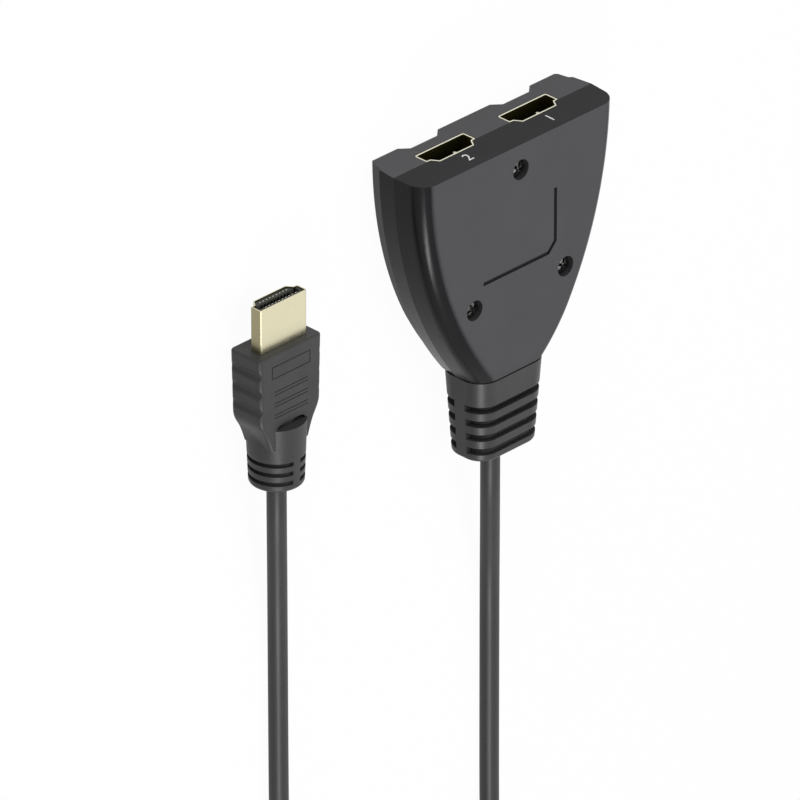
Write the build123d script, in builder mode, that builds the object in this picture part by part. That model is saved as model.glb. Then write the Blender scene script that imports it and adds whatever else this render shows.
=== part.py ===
import math
import os

from build123d import *

# A two-input video switch with a short captive cable and plug.
# It lies on its front face: +X across, +Y towards the sockets, +Z out of the screwed back.
# The origin is under the middle of the casing and its cable boot, on the floor.

# Casing
body_width = 61.0
body_length = 56.2
body_thickness = 17.2
part_height = 8.8
wall = 1.8
end_wall = 2.0
waist_depth = 21.0
waist_inset = 2.6
neck_margin = 0.2
back_draft = 4.0
front_draft = 7.0
end_draft = 2.0
edge_radius = 4.4
edge_chamfer = 0.6
run_out = 6.0

# Fall of both faces towards the boot
back_fall_depth = 44.0
back_fall = 1.15
front_fall_depth = 22.0
front_fall = 2.3

# Step round the front
step_height = 3.9
step_drop = 0.7
step_draft = 48.0
lip_draft = 10.0

# Channels on the front, in line with the sockets
channel_shift = 1.45
channel_width = 12.4
channel_length = 24.0
channel_depth = 1.9
channel_slope = 49.0
channel_corner = 4.0

# Groove on the back
groove_width = 0.95
groove_depth = 0.7
groove_x = 10.8
groove_top = 14.9
groove_bend = 27.9
groove_turn_x = 8.7
groove_row = 30.1
groove_end_x = -11.4

# Inside of the casing
back_room_shoulder = 4.2
front_room_depth = 36.0
front_room_inset = 0.6
front_room_shoulder = 1.8
flange_room = 0.3

# Boot
boot_length = 20.3
boot_gap = 0.3
boot_rise = 0.85
boot_width = 21.9
boot_height = 13.9
boot_corner = 5.0
boot_end_width = 19.5
boot_end_height = 11.7
boot_end_corner = 4.7
boot_end_fillet = 0.9
slot_start = 6.05
slot_pitch = 3.56
slot_height = 1.72
slot_depth = 1.1
slot_corner = 3.6
slot_web = 3.0
slot_rows = 4
boot_neck_width = 14.0
boot_neck_height = 6.6
flange_width = 17.0
flange_height = 8.0
flange_thickness = 1.8

# Clearances
slip = 0.15
seat_gap = 0.1
jacket_gap = 0.05

# Sockets
socket_x = 12.75
socket_low = 4.9
socket_half = 7.5
socket_side = 3.75
socket_shelf = 3.85
socket_inner = 6.35
socket_narrow = 5.2
socket_height = 5.6
socket_depth = 11.6
socket_corner = 0.6
sheet = 0.35
socket_rear = 3.4
tongue_width = 11.4
tongue_rise = 2.6
tongue_thickness = 1.9
tongue_setback = 2.3
contact_pitch = 1.0
contact_width = 0.45
contact_thickness = 0.12
lower_contact_count = 10
upper_contact_count = 9
foot_pitch = 0.6
foot_width = 0.28
foot_length = 1.5
foot_thickness = 0.15

# Screws
screw_depth_top = 6.4
screw_depth_low = 35.5
screw_inset = 13.8
screw_recess = 3.0
recess_diameter = 4.8
head_diameter = 4.3
head_height = 1.4
shank_diameter = 2.6
shank_length = 9.4
cross_length = 2.5
cross_width = 0.55
cross_depth = 0.9
boss_diameter = 7.4
pillar_diameter = 6.4

# Circuit board
board_gap = 0.8
board_thickness = 1.6
board_top_depth = 2.6
board_end_depth = 42.0
board_hole_gap = 0.4
chip_side = 9.0
chip_height = 1.1
chip_lift = 0.1
chip_depth = 22.5
lead_pitch = 0.8
lead_count = 10
lead_reach = 1.0
lead_width = 0.32
lead_thickness = 0.15
passive_size = (1.6, 0.8, 0.7)
passive_row_depth = 14.5
passive_block_depth = 21.0
passive_block_x = 14.0
crystal_size = (3.2, 5.0, 1.0)
crystal_depth = 32.5
crystal_gap = 2.3
standoff_diameter = 3.0

# Select button and its switch
button_depth = 27.5
button_diameter = 9.6
button_sink = 0.5
button_gap = 0.2
button_flange = 12.0
button_flange_height = 0.9
button_stem = 4.0
button_dish = 0.35
button_travel = 0.5
tact_side = 6.2
tact_height = 3.4
plunger_diameter = 3.4
plunger_reach = 0.9
plunger_top = 1.0
dome_thickness = 0.12
dome_diameter = 4.6

# Indicator lights
light_depth = 19.0
light_diameter = 2.4
light_sink = 0.2
light_flange = 3.6
light_flange_height = 0.8
led_size = (1.6, 0.8, 0.7)

# Cable and its parts inside the casing
cable_diameter = 4.4
cable_height = 8.35
jacket_end_depth = 49.5
clamp_diameter = 7.4
clamp_width = 2.6
wire_diameter = 0.9
wire_count = 7
wire_spread = 1.6
wire_landing = 3.0
wire_bend = 1.2

# Plug
plug_x = -64.1
plug_mouth = 21.9
plug_nose = 10.6
nose_rise = 0.3
plug_half = 6.95
plug_inner = 5.85
plug_narrow = 4.75
plug_side = 2.95
plug_shelf = 3.05
plug_height = 4.45
plug_sheet = 0.3
plug_corner = 0.5
plug_slot_width = 12.2
plug_slot_sink = 1.75
plug_slot_height = 2.1
plug_slot_depth = 6.5
grip_width = 19.0
grip_thickness = 9.2
shoulder_width = 18.2
grip_corner = 1.2
grip_top_fillet = 0.5
grip_straight = 15.0
grip_length = 23.5
tail_inset = 0.95
plug_body_length = 34.1
collar_length = 15.45
collar_diameter = 13.4
collar_draft = 2.2
arch_radius = 1.15
arch_lift = 0.5
collar_end_fillet = 0.8
collar_slot_height = 1.05
collar_slot_pitch = 2.3
collar_slot_end = 1.6
collar_slot_depth = 1.2
collar_slot_rows = 3
collar_web = 2.0
scallop_first = 4.1
scallop_pitch = 4.4
scallop_radius = 1.6
scallop_sink = 0.65
scallop_count = 3
frame_width = 11.6
frame_height = 3.1
frame_depth = 4.2
frame_line = 0.3
line_depth = 0.15
rib_first = 9.4
rib_pitch = 2.8
rib_gap = 0.8
rib_length = 9.9
rib_line = 0.25
rib_pairs = 3

# Put-away coil
coil_x = -18.8
coil_y = -167.5
coil_radius = 25.0
layer_gap = 0.8
tie_wall = 0.7
tie_width = 6.0
tie_side_gap = 0.3

# Places worked out from the sizes above
y_port = (body_length + boot_gap + boot_length) / 2
y_neck = y_port - body_length
y_boot = y_neck - boot_gap
y_exit = y_boot - boot_length
waist_half = body_width / 2 - waist_inset
neck_half = boot_width / 2 + neck_margin
screw_x = waist_half - screw_inset
channel_x = socket_x + channel_shift
back_room_low = cable_height + flange_height / 2 + flange_room
front_room_low = cable_height - flange_height / 2 - flange_room
boot_z = cable_height + boot_rise
cable_radius = cable_diameter / 2
front_wall = wall + 0.2
board_low = socket_low + socket_height + seat_gap
board_high = board_low + board_thickness
tact_low = board_low - tact_height
screw_seat = body_thickness - screw_recess
screw_spots = [
    (0, y_port - screw_depth_top),
    (-screw_x, y_port - screw_depth_low),
    (screw_x, y_port - screw_depth_low),
]
socket_spots = [-socket_x, socket_x]
light_spots = [(-channel_x, y_port - light_depth), (channel_x, y_port - light_depth)]
plug_z = collar_diameter / 2
plug_top = plug_mouth - plug_nose
plug_end = plug_top - plug_body_length
tie_low = tie_wall + seat_gap
coil_low = tie_low + cable_radius
coil_high = coil_low + cable_diameter + layer_gap

os.makedirs("parts", exist_ok=True)


def across(y):
    """Plane square to the cable at y: sketch x is +X, sketch y is +Z, extrusions go to -Y."""
    return Plane.XZ.offset(-y)


def save(builder, name):
    """Label one finished piece and write its file."""
    builder.part.label = name
    export_step(builder.part, "parts/" + name + ".step")


def socket_outline(half, inner, narrow, side, shelf, height, corner, up=1):
    """Outline of a socket or of its plug: the wide side at y = 0, the narrow side towards up."""
    with BuildSketch() as outline:
        with BuildLine():
            Polyline(
                (-half, 0), (half, 0), (half, up * side), (inner, up * shelf), (narrow, up * height),
                (-narrow, up * height), (-inner, up * shelf), (-half, up * side), close=True,
            )
        make_face()
        fillet(outline.vertices().filter_by(lambda v: abs(v.Y) < 0.01), corner)
    return outline.sketch


socket_face = socket_outline(socket_half, socket_inner, socket_narrow, socket_side, socket_shelf,
                             socket_height, socket_corner)

# Plan outline of the casing at its parting line, run past both ends
with BuildSketch() as plan:
    with BuildLine():
        half = body_width / 2
        side = Line((-half - 0.1, y_port + run_out), (-half, y_port))
        shoulder = TangentArc((-half, y_port), (-waist_half, y_port - waist_depth), tangent=side % 1)
        flank = TangentArc(shoulder @ 1, (-neck_half, y_neck), tangent=shoulder % 1)
        tail = Line(flank @ 1, flank @ 1 + (flank % 1) * run_out)
        Line(side @ 0, (0, y_port + run_out))
        Line(tail @ 1, (0, (tail @ 1).Y))
        mirror(about=Plane.YZ)
    make_face()

# Side view that trims both ends of the casing: the back's socket face leans, the front's is square
with BuildSketch(Plane.YZ) as ends:
    with BuildLine():
        lean = math.tan(math.radians(end_draft))
        back_top = body_thickness + run_out
        Polyline(
            (y_port - lean * (back_top - part_height), back_top), (y_port, part_height),
            (y_port, -run_out), (y_neck, -run_out), (y_neck, back_top), close=True,
        )
    make_face()


def fall_cut(depth, face, drop, outward):
    """Cut the current part where its face curves away towards the boot."""
    with BuildSketch(Plane.YZ) as cut:
        with BuildLine():
            start = (y_port - depth, face)
            bend = TangentArc(start, (y_neck, face - outward * drop), tangent=(-1, 0))
            out = Line(bend @ 1, bend @ 1 + (bend % 1) * run_out * 2)
            clear = face + outward * run_out
            Polyline(out @ 1, ((out @ 1).X, clear), (start[0], clear), start)
        make_face()
    extrude(cut.sketch, amount=body_width, both=True, mode=Mode.SUBTRACT)


def room(low, high, inset, start_depth, end_depth):
    """Hollow inside the casing outline, between two depths below the socket face."""
    with BuildSketch(Plane.XY.offset(low)) as hollow:
        add(plan.sketch)
        offset(amount=-inset, kind=Kind.INTERSECTION)
        with Locations((0, y_port - (start_depth + end_depth) / 2)):
            Rectangle(2 * body_width, end_depth - start_depth, mode=Mode.INTERSECT)
    extrude(hollow.sketch, amount=high - low, dir=(0, 0, 1), mode=Mode.SUBTRACT)


def socket_windows():
    """Openings of both sockets through the end wall of the current part."""
    with BuildSketch(across(y_port + 1)) as openings:
        with Locations(*[(x, socket_low) for x in socket_spots]):
            add(socket_face)
        offset(amount=slip)
    extrude(openings.sketch, amount=wall + 2, mode=Mode.SUBTRACT)


def boot_window():
    """Opening for the boot's neck through the lower end wall of the current part."""
    with BuildSketch(across(y_neck + end_wall + 1)) as opening:
        with Locations((0, cable_height)):
            RectangleRounded(boot_neck_width + 2 * slip, boot_neck_height + 2 * slip, 2)
    extrude(opening.sketch, amount=end_wall + 2, mode=Mode.SUBTRACT)


# Back cover, the half with the screws
with BuildPart() as back_cover:
    with BuildSketch(Plane.XY.offset(part_height)):
        add(plan.sketch)
    extrude(amount=body_thickness - part_height, taper=back_draft)
    fall_cut(back_fall_depth, body_thickness, back_fall, 1)
    rim = back_cover.edges().filter_by(
        lambda e: e.bounding_box().min.Z > part_height + edge_radius / 2 and abs(e.center().X) > 2
    )
    fillet(rim, edge_radius)
    add(extrude(ends.sketch, amount=body_width, both=True, mode=Mode.PRIVATE), mode=Mode.INTERSECT)
    room(part_height, back_room_low, wall, wall, body_length - end_wall)
    room(back_room_low, body_thickness - wall, back_room_shoulder, wall + 1, back_fall_depth)
    with BuildSketch(Plane.XY.offset(part_height)):
        with Locations(*screw_spots):
            Circle(boss_diameter / 2)
    extrude(amount=body_thickness - wall - part_height + 0.5, dir=(0, 0, 1))
    with BuildSketch(Plane.XY.offset(board_high + seat_gap)):
        with Locations((-21, y_port - 15), (21, y_port - 15), (-9, y_port - 39), (9, y_port - 39)):
            Circle(standoff_diameter / 2)
    extrude(amount=body_thickness - wall - board_high, dir=(0, 0, 1))
    with Locations(*[(x, y, body_thickness) for x, y in screw_spots]):
        CounterBoreHole(shank_diameter / 2 + slip, recess_diameter / 2, screw_recess)
    with BuildSketch(Plane.XY.offset(body_thickness)):
        with BuildLine():
            Polyline(
                (groove_x, y_port - groove_top), (groove_x, y_port - groove_bend),
                (groove_turn_x, y_port - groove_row), (groove_end_x, y_port - groove_row),
            )
        trace(line_width=groove_width)
    extrude(amount=-groove_depth, mode=Mode.SUBTRACT)
    socket_windows()
    boot_window()
save(back_cover, "back_cover")

# Front cover, the half with the button
with BuildPart() as front_cover:
    with BuildSketch(Plane.XY.offset(part_height)):
        add(plan.sketch)
    extrude(amount=-(part_height - step_height), taper=front_draft)
    extrude(front_cover.faces().sort_by(Axis.Z)[0], amount=step_drop, taper=step_draft)
    lip_height = step_height - step_drop - edge_chamfer
    extrude(front_cover.faces().sort_by(Axis.Z)[0], amount=lip_height, taper=lip_draft)
    extrude(front_cover.faces().sort_by(Axis.Z)[0], amount=edge_chamfer, taper=45)
    fall_cut(front_fall_depth, 0, front_fall, -1)
    add(extrude(ends.sketch, amount=body_width, both=True, mode=Mode.PRIVATE), mode=Mode.INTERSECT)
    room(front_room_low, part_height, wall + front_room_inset, wall, body_length - end_wall)
    room(front_wall, front_room_low, wall + front_room_shoulder, wall, front_room_depth)
    ridge_height = front_wall + channel_depth
    with BuildSketch(Plane.XY.offset(front_wall)):
        with Locations(*[(x, y_port - (channel_length + 2) / 2) for x in (-channel_x, channel_x)]):
            Rectangle(channel_width, channel_length - 2 * wall + 2)
    extrude(amount=channel_depth - 0.2, dir=(0, 0, 1))
    with BuildSketch():
        with Locations(*[(x, y_port - (channel_length - run_out) / 2) for x in (-channel_x, channel_x)]):
            RectangleRounded(channel_width, channel_length + run_out, channel_corner)
    extrude(amount=channel_depth, taper=channel_slope, dir=(0, 0, 1), mode=Mode.SUBTRACT)
    with BuildSketch(Plane.XY.offset(front_wall)):
        with Locations(*screw_spots):
            Circle(pillar_diameter / 2)
    extrude(amount=part_height - front_wall, dir=(0, 0, 1))
    with Locations(*[(x, y, part_height) for x, y in screw_spots]):
        Hole(shank_diameter / 2 + jacket_gap, depth=part_height - front_wall - 0.8)
    rib_height = socket_low - ridge_height + 0.1
    with Locations(*[(x, y_port - 7, ridge_height - 0.3) for x in socket_spots]):
        Box(8, 3, rib_height + 0.1, align=(Align.CENTER, Align.CENTER, Align.MIN))
    with BuildSketch(Plane.XY.offset(front_wall)):
        with Locations((-9, y_port - 40), (9, y_port - 40)):
            Circle(standoff_diameter / 2)
    extrude(amount=board_low - seat_gap - front_wall, dir=(0, 0, 1))
    with Locations((0, y_port - button_depth, front_wall)):
        Hole(button_diameter / 2 + button_gap, depth=2 * front_wall)
    with Locations(*[(x, y, ridge_height) for x, y in light_spots]):
        Hole(light_diameter / 2 + jacket_gap, depth=2 * ridge_height)
    socket_windows()
    boot_window()
save(front_cover, "front_cover")

# Screws
with BuildPart() as cover_screws:
    with BuildSketch(Plane.XY.offset(screw_seat)):
        with Locations(*screw_spots):
            Circle(head_diameter / 2)
    extrude(amount=head_height)
    rim = cover_screws.edges().group_by(Axis.Z)[-1]
    fillet(rim, 0.4)
    with BuildSketch(Plane.XY.offset(screw_seat)):
        with Locations(*screw_spots):
            Circle(shank_diameter / 2)
    extrude(amount=-shank_length)
    with BuildSketch(Plane.XY.offset(screw_seat + head_height)):
        with Locations(*screw_spots):
            Rectangle(cross_length, cross_width)
            Rectangle(cross_width, cross_length)
    extrude(amount=-cross_depth, mode=Mode.SUBTRACT)
save(cover_screws, "cover_screws")


def socket_shell(number, x):
    """Folded metal shell of one socket."""
    with BuildPart() as shell:
        with BuildSketch(across(y_port)):
            with Locations((x, socket_low)):
                add(socket_face)
            offset(amount=-sheet, kind=Kind.INTERSECTION, mode=Mode.SUBTRACT)
        extrude(amount=socket_depth)
    save(shell, f"socket_shell_{number}")


def socket_core(number, x):
    """Moulded block and tongue inside one socket."""
    with BuildPart() as core:
        with BuildSketch(across(y_port - socket_depth + socket_rear)):
            with Locations((x, socket_low)):
                add(socket_face)
            offset(amount=-sheet - jacket_gap, kind=Kind.INTERSECTION, mode=Mode.REPLACE)
        extrude(amount=socket_rear)
        with BuildSketch(across(y_port - tongue_setback)):
            with Locations((x, socket_low + tongue_rise)):
                Rectangle(tongue_width, tongue_thickness)
        extrude(amount=socket_depth - socket_rear - tongue_setback)
        tip = core.edges().filter_by(Axis.X).filter_by(lambda e: e.center().Y > y_port - tongue_setback - 0.1)
        chamfer(tip, 0.4)
    save(core, f"socket_core_{number}")


def socket_contacts(number, x):
    """Contact strips on the tongue and their feet on the board."""
    middle = socket_low + tongue_rise
    strip_start = y_port - tongue_setback - 0.6
    strip_length = socket_depth - socket_rear - tongue_setback - 0.6
    rear = y_port - socket_depth
    with BuildPart() as contacts:
        for count, up in ((lower_contact_count, -1), (upper_contact_count, 1)):
            level = middle + up * (tongue_thickness + contact_thickness) / 2
            with Locations((x, strip_start - strip_length / 2, level)):
                with GridLocations(contact_pitch, 1, count, 1):
                    Box(contact_width, strip_length, contact_thickness)
        with Locations((x, rear, board_low)):
            with GridLocations(foot_pitch, 1, lower_contact_count + upper_contact_count, 1):
                Box(foot_width, foot_length, foot_thickness, align=(Align.CENTER, Align.MAX, Align.MAX))
                Box(foot_width, foot_thickness, socket_height / 2, align=(Align.CENTER, Align.MAX, Align.MAX))
    save(contacts, f"socket_contacts_{number}")


for number, x in enumerate(socket_spots, 1):
    socket_shell(number, x)
    socket_core(number, x)
    socket_contacts(number, x)

# Circuit board
with BuildPart() as circuit_board:
    with BuildSketch(Plane.XY.offset(board_low)):
        add(plan.sketch)
        offset(amount=-wall - board_gap, kind=Kind.INTERSECTION)
        with Locations((0, y_port - (board_top_depth + board_end_depth) / 2)):
            Rectangle(2 * body_width, board_end_depth - board_top_depth, mode=Mode.INTERSECT)
        with Locations(*screw_spots):
            Circle(boss_diameter / 2 + board_hole_gap, mode=Mode.SUBTRACT)
    extrude(amount=board_thickness, dir=(0, 0, 1))
save(circuit_board, "circuit_board")

# Switching chip and its leads
chip_y = y_port - chip_depth
with BuildPart() as switching_chip:
    with Locations((0, chip_y, board_high + chip_lift)):
        Box(chip_side, chip_side, chip_height, align=(Align.CENTER, Align.CENTER, Align.MIN))
    chamfer(switching_chip.edges().group_by(Axis.Z)[-1], 0.15)
save(switching_chip, "switching_chip")

with BuildPart() as chip_leads:
    for turn in range(4):
        with Locations(Location((0, chip_y, board_high), (0, 0, 90 * turn))):
            with Locations((0, chip_side / 2, 0)):
                with GridLocations(lead_pitch, 1, lead_count, 1):
                    Box(lead_width, lead_reach, lead_thickness, align=(Align.CENTER, Align.MIN, Align.MIN))
                    Box(lead_width, lead_thickness, chip_height / 2,
                        align=(Align.CENTER, Align.MIN, Align.MIN))
save(chip_leads, "chip_leads")

# Small parts on the board
with BuildPart() as board_parts:
    with Locations((0, y_port - passive_row_depth, board_high)):
        with GridLocations(2.6, 2.2, 5, 1):
            Box(*passive_size, align=(Align.CENTER, Align.CENTER, Align.MIN))
    for edge in (-1, 1):
        with Locations((edge * passive_block_x, y_port - passive_block_depth, board_high)):
            with GridLocations(3.0, 2.4, 3, 3):
                Box(*passive_size, align=(Align.CENTER, Align.CENTER, Align.MIN))
save(board_parts, "board_parts")

# Crystal, clear of the right screw's boss
crystal_x = screw_x - boss_diameter / 2 - crystal_gap - crystal_size[0] / 2
with BuildPart() as crystal:
    with Locations((crystal_x, y_port - crystal_depth, board_high)):
        Box(*crystal_size, align=(Align.CENTER, Align.CENTER, Align.MIN))
    fillet(crystal.edges().filter_by(Axis.Z), 0.6)
save(crystal, "crystal")

# Push switch under the board, its dome and plunger
button_y = y_port - button_depth
plunger_low = tact_low - plunger_reach
with BuildPart() as tact_switch:
    with Locations((0, button_y, board_low)):
        Box(tact_side, tact_side, tact_height, align=(Align.CENTER, Align.CENTER, Align.MAX))
    with Locations((0, button_y, tact_low)):
        Cylinder(plunger_diameter / 2 + button_gap / 2, plunger_top + button_travel + 0.4,
                 align=(Align.CENTER, Align.CENTER, Align.MIN), mode=Mode.SUBTRACT)
    with Locations((0, button_y, tact_low + plunger_top)):
        Cylinder(dome_diameter / 2 + 0.1, button_travel + 0.6,
                 align=(Align.CENTER, Align.CENTER, Align.MIN), mode=Mode.SUBTRACT)
save(tact_switch, "tact_switch")

with BuildPart() as switch_dome:
    with Locations((0, button_y, tact_low + plunger_top + button_travel + 0.6 - dome_thickness)):
        Cylinder(dome_diameter / 2, dome_thickness, align=(Align.CENTER, Align.CENTER, Align.MIN))
save(switch_dome, "switch_dome")

with BuildPart() as switch_plunger:
    with Locations((0, button_y, plunger_low)):
        Cylinder(plunger_diameter / 2, plunger_reach + plunger_top - 0.1,
                 align=(Align.CENTER, Align.CENTER, Align.MIN))
    chamfer(switch_plunger.edges().group_by(Axis.Z)[0], 0.2)
save(switch_plunger, "switch_plunger")

# Select button, flush in the front face
flange_low = front_wall + seat_gap
with BuildPart() as select_button:
    with Locations((0, button_y, button_sink)):
        Cylinder(button_diameter / 2, flange_low - button_sink, align=(Align.CENTER, Align.CENTER, Align.MIN))
    fillet(select_button.edges().group_by(Axis.Z)[0], 0.4)
    with Locations((0, button_y, flange_low)):
        Cylinder(button_flange / 2, button_flange_height, align=(Align.CENTER, Align.CENTER, Align.MIN))
    with Locations((0, button_y, flange_low)):
        Cylinder(button_stem / 2, plunger_low - flange_low, align=(Align.CENTER, Align.CENTER, Align.MIN))
    dish_radius = ((button_diameter / 2 - 1) ** 2 + button_dish**2) / (2 * button_dish)
    with Locations((0, button_y, button_sink + button_dish - dish_radius)):
        Sphere(dish_radius, mode=Mode.SUBTRACT)
save(select_button, "select_button")

# Indicator lights under the board and their light guides
with BuildPart() as indicator_leds:
    with Locations(*[(x, y, board_low) for x, y in light_spots]):
        Box(*led_size, align=(Align.CENTER, Align.CENTER, Align.MAX))
save(indicator_leds, "indicator_leds")

with BuildPart() as light_guides:
    guide_low = channel_depth + light_sink
    guide_high = board_low - led_size[2] - seat_gap
    with Locations(*[(x, y, guide_low) for x, y in light_spots]):
        Cylinder(light_diameter / 2, guide_high - guide_low, align=(Align.CENTER, Align.CENTER, Align.MIN))
    with Locations(*[(x, y, ridge_height) for x, y in light_spots]):
        Cylinder(light_flange / 2, light_flange_height, align=(Align.CENTER, Align.CENTER, Align.MIN))
save(light_guides, "light_guides")


def slotted(y_first, pitch, rows, height, core_width, core_height, corner, web, centre):
    """Cut rows of relief slots round the current part, leaving a core and two webs."""
    for row in range(rows):
        with BuildSketch(across(y_first - row * pitch)) as ring:
            with Locations(centre):
                Rectangle(3 * core_width, 3 * core_height)
                RectangleRounded(core_width, core_height, corner, mode=Mode.SUBTRACT)
                Rectangle(*web, mode=Mode.SUBTRACT)
        extrude(ring.sketch, amount=height, mode=Mode.SUBTRACT)


# Boot, moulded round the cable, with a flange held inside the casing
with BuildPart() as cable_boot:
    with BuildSketch(across(y_boot)):
        with Locations((0, boot_z)):
            RectangleRounded(boot_width, boot_height, boot_corner)
    with BuildSketch(across(y_exit)):
        with Locations((0, boot_z)):
            RectangleRounded(boot_end_width, boot_end_height, boot_end_corner)
    loft()
    fillet(cable_boot.edges().group_by(Axis.Y)[0], boot_end_fillet)
    slotted(y_boot - slot_start, slot_pitch, slot_rows, slot_height, boot_end_width - 2 * slot_depth,
            boot_end_height - 2 * slot_depth, slot_corner, (3 * boot_width, slot_web), (0, boot_z))
    flange_y = y_neck + end_wall + seat_gap
    with BuildSketch(across(flange_y + flange_thickness)):
        with Locations((0, cable_height)):
            RectangleRounded(flange_width, flange_height, 2)
    extrude(amount=flange_thickness)
    with BuildSketch(across(flange_y)):
        with Locations((0, cable_height)):
            RectangleRounded(boot_neck_width, boot_neck_height, 2)
    extrude(amount=flange_y - y_boot)
    with BuildSketch(across(y_port)):
        with Locations((0, cable_height)):
            Circle(cable_radius + jacket_gap)
    extrude(amount=2 * body_length, mode=Mode.SUBTRACT)
save(cable_boot, "cable_boot")

# Cable end inside the casing
jacket_end = y_port - jacket_end_depth
with BuildPart() as inner_cable:
    with BuildSketch(across(jacket_end)):
        with Locations((0, cable_height)):
            Circle(cable_radius)
    extrude(amount=jacket_end - y_exit)
save(inner_cable, "inner_cable")

with BuildPart() as cable_clamp:
    with BuildSketch(across(flange_y + flange_thickness + seat_gap + clamp_width)):
        with Locations((0, cable_height)):
            Circle(clamp_diameter / 2)
            Circle(cable_radius + jacket_gap, mode=Mode.SUBTRACT)
    extrude(amount=clamp_width)
save(cable_clamp, "cable_clamp")

# Wires from the cable to the board
with BuildPart() as cable_wires:
    landing_z = board_low - wire_diameter / 2
    board_end = y_port - board_end_depth
    for number in range(wire_count):
        angle = math.pi * (number + 0.5) / wire_count
        start_x = -1.5 * math.cos(angle)
        start_z = cable_height + 1.2 * math.sin(angle) - 0.6
        start = (start_x, jacket_end, start_z)
        bend = (start_x, jacket_end + 2, start_z)
        land_x = (number - (wire_count - 1) / 2) * wire_spread
        knee = (land_x, board_end - 0.5, landing_z)
        end = (land_x, board_end + wire_landing, landing_z)
        with BuildLine() as route:
            FilletPolyline(start, bend, knee, end, radius=wire_bend)
        wire = route.wires()[0]
        with BuildSketch(Plane(origin=start, z_dir=wire % 0)):
            Circle(wire_diameter / 2)
        sweep(path=wire)
save(cable_wires, "cable_wires")

# Metal nose of the plug, wide side up
nose_top = plug_z + nose_rise + plug_height / 2
slot_level = nose_top - plug_slot_sink
plug_face = socket_outline(plug_half, plug_inner, plug_narrow, plug_side, plug_shelf, plug_height,
                           plug_corner, up=-1)
with BuildPart() as plug_shell:
    with BuildSketch(across(plug_mouth)):
        with Locations((plug_x, nose_top)):
            add(plug_face)
        offset(amount=-plug_sheet, kind=Kind.INTERSECTION, mode=Mode.SUBTRACT)
    extrude(amount=plug_nose)
save(plug_shell, "plug_shell")

with BuildPart() as plug_core:
    with BuildSketch(across(plug_mouth - 0.3)):
        with Locations((plug_x, nose_top)):
            add(plug_face)
        offset(amount=-plug_sheet - jacket_gap, kind=Kind.INTERSECTION, mode=Mode.REPLACE)
    extrude(amount=plug_nose - 0.3)
    with BuildSketch(across(plug_mouth)):
        with Locations((plug_x, slot_level)):
            Rectangle(plug_slot_width, plug_slot_height)
    extrude(amount=plug_slot_depth, mode=Mode.SUBTRACT)
save(plug_core, "plug_core")

with BuildPart() as plug_contacts:
    for count, up in ((lower_contact_count, 1), (upper_contact_count, -1)):
        level = slot_level + up * (plug_slot_height - contact_thickness) / 2
        with Locations((plug_x, plug_mouth - 0.6 - plug_slot_depth / 2 + 0.3, level)):
            with GridLocations(contact_pitch, 1, count, 1):
                Box(contact_width, plug_slot_depth - 0.9, contact_thickness)
save(plug_contacts, "plug_contacts")

# Moulded plug body: a flat grip with waisted shoulders, and a round ringed collar
with BuildPart() as plug_body:
    grip_low = plug_z - grip_thickness / 2
    shoulder_y = plug_top - grip_straight
    tail_y = plug_top - grip_length
    tail_half = collar_diameter / 2 - tail_inset
    shoulder_half = shoulder_width / 2
    side_lean = (grip_width / 2 - shoulder_half) / grip_straight
    with BuildSketch(Plane.XY.offset(grip_low)):
        with BuildLine():
            edge = Line((-grip_width / 2, plug_top), (-shoulder_half, shoulder_y))
            bend = Spline(edge @ 1, ((-shoulder_half - tail_half) / 2, (shoulder_y + tail_y) / 2),
                          (-tail_half, tail_y), tangents=((side_lean, -1), (0.35, -1)))
            Line(bend @ 1, (0, tail_y))
            Line(edge @ 0, (0, plug_top))
            mirror(about=Plane.YZ)
        outline = make_face(mode=Mode.PRIVATE)
        add(outline.moved(Location((plug_x, 0))))
    extrude(amount=grip_thickness, dir=(0, 0, 1))
    long_edges = plug_body.edges().filter_by(
        lambda e: e.bounding_box().size.Z < 0.01 and abs(e.center().X - plug_x) > tail_half - 1
    )
    fillet(long_edges, grip_corner)
    fillet(plug_body.edges().group_by(Axis.Y)[-1], grip_top_fillet)
    collar_y = plug_end + collar_length
    with Locations(Location((plug_x, collar_y, plug_z), (90, 0, 0))):
        Torus(grip_thickness / 2 + arch_lift, arch_radius, mode=Mode.SUBTRACT)
    with BuildSketch(across(collar_y)):
        with Locations((plug_x, plug_z)):
            Circle(collar_diameter / 2)
    extrude(amount=collar_length, taper=collar_draft)
    fillet(plug_body.edges().group_by(Axis.Y)[0], collar_end_fillet)
    for side_x in (-1, 1):
        for number in range(scallop_count):
            depth = scallop_first + number * scallop_pitch
            reach = grip_width / 2 - side_lean * depth + scallop_radius - scallop_sink
            with Locations((plug_x + side_x * reach, plug_top - depth, plug_z)):
                Cylinder(scallop_radius, 2 * grip_thickness, mode=Mode.SUBTRACT)
    collar_core = collar_diameter - 2 * collar_slot_depth
    slotted(plug_end + collar_slot_end + collar_slot_height + (collar_slot_rows - 1) * collar_slot_pitch,
            collar_slot_pitch, collar_slot_rows, collar_slot_height, collar_core, collar_core,
            0.49 * collar_core, (collar_web, 3 * collar_core), (plug_x, plug_z))
    face = plug_z + grip_thickness / 2
    with BuildSketch(Plane.XY.offset(face)):
        with Locations((plug_x, plug_top - frame_depth)):
            Rectangle(frame_width, frame_height)
            Rectangle(frame_width - 2 * frame_line, frame_height - 2 * frame_line, mode=Mode.SUBTRACT)
        for pair in range(rib_pairs):
            for half_gap in (-rib_gap / 2, rib_gap / 2):
                with Locations((plug_x, plug_top - rib_first - pair * rib_pitch + half_gap)):
                    Rectangle(rib_length, rib_line)
    extrude(amount=-line_depth, mode=Mode.SUBTRACT)
save(plug_body, "plug_body")


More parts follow.
